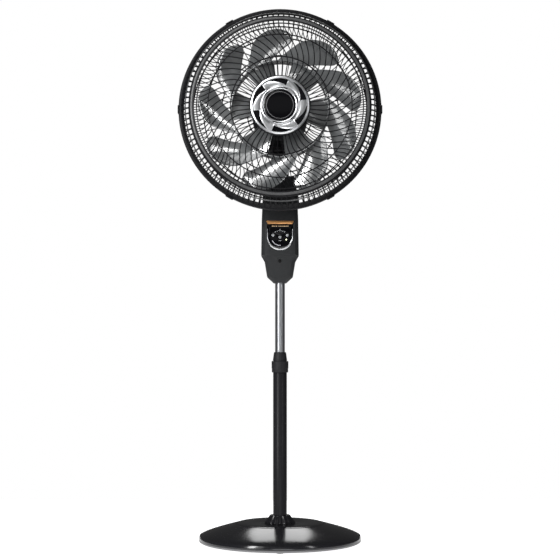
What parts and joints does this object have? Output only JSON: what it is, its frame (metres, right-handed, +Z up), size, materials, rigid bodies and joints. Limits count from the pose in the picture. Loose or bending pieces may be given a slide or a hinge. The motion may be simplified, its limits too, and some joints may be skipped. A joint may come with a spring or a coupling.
{
  "type": "pedestal fan",
  "caption": "Free-standing pedestal fan: round weighted base, telescopic pole, control housing, tilting and swinging caged head with a two-stage blade wheel.",
  "frame": {"origin": "on the floor, on the pole's axis, in the middle of the round base", "axes": "+Z up along the pole, -Y is the way the fan blows, +X to the right as seen from the front"},
  "size_m": [0.494, 0.4, 1.298],
  "materials": {
    "gloss_black": "gloss black moulded plastic",
    "grey_rim": "grey satin plastic",
    "cast_iron": "rough cast",
    "rubber": "moulded rubber",
    "steel": "zinc plated steel",
    "painted_tube": "charcoal satin paint",
    "chrome": "bright chrome plating",
    "graphite": "graphite satin plastic",
    "collar": "charcoal moulded plastic",
    "panel_black": "black gloss panel",
    "copper": "copper coloured metallic finish",
    "board": "printed circuit board",
    "lamp": "pale lit lens",
    "guard": "satin charcoal plastic",
    "smoke": "translucent smoke grey plastic",
    "alloy": "die cast",
    "laminate": "laminated electrical steel",
    "copper_wire": "enamelled copper wire",
    "bronze": "sintered bronze",
    "white_plastic": "natural acetal plastic"
  },
  "bodies": {
    "base": {"base_cover": "gloss_black", "centre_disc": "gloss_black", "base_tray": "grey_rim", "base_weight": "cast_iron", "base_feet": "rubber", "base_screws": "steel", "pole_flange": "steel", "flange_bolts": "steel", "pole_socket": "gloss_black", "outer_tube": "painted_tube", "collar_ring": "collar", "tube_collet": "white_plastic"},
    "lock_nut": {"height_nut": "collar"},
    "mast": {"inner_tube": "chrome", "tube_bush": "white_plastic", "housing_front": "graphite", "housing_rear": "graphite", "housing_screws": "steel", "tube_screw": "steel", "tube_clamp": "alloy", "panel_fascia": "panel_black", "panel_trim": "chrome", "accent_bar": "copper", "control_board": "board", "power_board": "board", "led_lens": "lamp", "cord_gland": "rubber", "tilt_fork": "graphite", "tilt_bolt": "steel"},
    "power_key": {"key_power": "panel_black"},
    "timer_key": {"key_timer": "panel_black"},
    "swing_key": {"key_swing": "panel_black"},
    "knuckle": {"tilt_knuckle": "collar", "swing_post": "steel"},
    "head": {"swing_pan": "graphite", "swing_bush": "bronze", "swing_motor": "steel", "motor_housing_front": "graphite", "motor_housing_rear": "graphite", "motor_bracket_front": "alloy", "motor_bracket_rear": "alloy", "stator_core": "laminate", "stator_windings": "copper_wire", "front_bearing": "bronze", "rear_bearing": "bronze", "guard_nut": "guard", "guard_clips": "guard", "hub_trim": "chrome", "hub_disc": "gloss_black", "front_guard": "guard", "rear_guard": "guard"},
    "crank": {"swing_crank": "steel"},
    "link": {"swing_link": "steel"},
    "rotor": {"motor_shaft": "steel", "rotor_core": "laminate", "fan_blades": "smoke", "blade_nut": "gloss_black"}
  },
  "joints": [
    {"name": "height_lock", "type": "hinge", "parent": "base", "child": "lock_nut", "pos_m": [0, 0, 0.455], "axis": [0, 0, 1], "range_deg": [0, 90]},
    {"name": "height_slide", "type": "slide", "parent": "base", "child": "mast", "axis": [0, 0, 1], "range_m": [-0.16, 0.1]},
    {"name": "power_press", "type": "slide", "parent": "mast", "child": "power_key", "axis": [0, 1, 0], "range_m": [0, 0.0008], "stiffness_N_per_m": 900, "springref_m": -0.0004},
    {"name": "timer_press", "type": "slide", "parent": "mast", "child": "timer_key", "axis": [0, 1, 0], "range_m": [0, 0.0008], "stiffness_N_per_m": 900, "springref_m": -0.0004},
    {"name": "swing_press", "type": "slide", "parent": "mast", "child": "swing_key", "axis": [0, 1, 0], "range_m": [0, 0.0008], "stiffness_N_per_m": 900, "springref_m": -0.0004},
    {"name": "head_tilt", "type": "hinge", "parent": "mast", "child": "knuckle", "pos_m": [0, 0, 0.935], "axis": [1, 0, 0], "range_deg": [-20, 10]},
    {"name": "head_swing", "type": "hinge", "parent": "knuckle", "child": "head", "pos_m": [0, 0, 0.97], "axis": [0, 0, 1], "range_deg": [-35, 35]},
    {"name": "crank_turn", "type": "hinge", "parent": "head", "child": "crank", "pos_m": [0, 0.03, 0.98], "axis": [0, 0, 1], "range_deg": [-60, 60]},
    {"name": "link_turn", "type": "hinge", "parent": "crank", "child": "link", "pos_m": [0, 0.01279, 0.976], "axis": [0, 0, 1], "range_deg": [-95, 95]},
    {"name": "blade_spin", "type": "hinge", "parent": "head", "child": "rotor", "pos_m": [0, -0.115, 1.053], "axis": [0, -1, 0], "continuous": true}
  ],
  "couplings": [
    {"joint": "crank_turn", "follows": "head_swing", "ratio": 1.5714},
    {"joint": "link_turn", "follows": "head_swing", "ratio": -2.5714}
  ]
}
